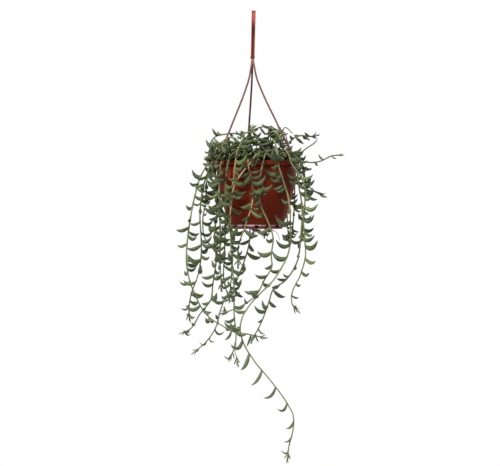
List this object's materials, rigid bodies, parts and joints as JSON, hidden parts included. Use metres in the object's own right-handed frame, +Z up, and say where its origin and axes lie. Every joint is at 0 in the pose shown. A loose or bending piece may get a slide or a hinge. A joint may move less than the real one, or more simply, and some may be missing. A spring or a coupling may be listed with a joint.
{
  "type": "hanging potted plant",
  "caption": "Round hanging pot with a three-legged plastic hanger, full of long trailing stems of banana-shaped succulent leaves.",
  "frame": {"origin": "the hang point: the highest point inside the hook, where the part hangs on a pole", "axes": "+Z up, -Y towards the side shown in the picture, +X to the right as seen from that side"},
  "size_m": [0.2987, 0.2145, 0.8061],
  "materials": {
    "pot_plastic": "moulded red-brown plastic, slightly dusty, with a soft sheen",
    "hanger_plastic": "moulded red-brown plastic, smooth, lighter than the pot",
    "potting_soil": "dark loose potting mix with bits of bark",
    "vine_green": "fleshy grey-green leaves with purplish tips, on pale yellow-green stems",
    "shoot_brown": "dry grey-brown stem"
  },
  "bodies": {
    "root": {"pot": "pot_plastic", "hanger": "hanger_plastic", "soil": "potting_soil", "vine_01": "vine_green", "vine_02": "vine_green", "vine_03": "vine_green", "vine_04": "vine_green", "vine_05": "vine_green", "vine_06": "vine_green", "vine_07": "vine_green", "vine_08": "vine_green", "vine_09": "vine_green", "vine_10": "vine_green", "vine_11": "vine_green", "vine_12": "vine_green", "vine_13": "vine_green", "vine_14": "shoot_brown", "vine_15": "vine_green", "vine_16": "vine_green", "vine_17": "vine_green", "vine_18": "vine_green", "vine_19": "vine_green", "vine_20": "vine_green", "vine_21": "vine_green", "vine_22": "vine_green", "vine_23": "vine_green", "vine_24": "vine_green", "vine_25": "vine_green", "vine_26": "vine_green", "vine_27": "vine_green", "vine_28": "vine_green", "vine_29": "vine_green", "vine_30": "vine_green", "vine_31": "vine_green", "vine_32": "vine_green", "vine_33": "vine_green"}
  },
  "joints": []
}
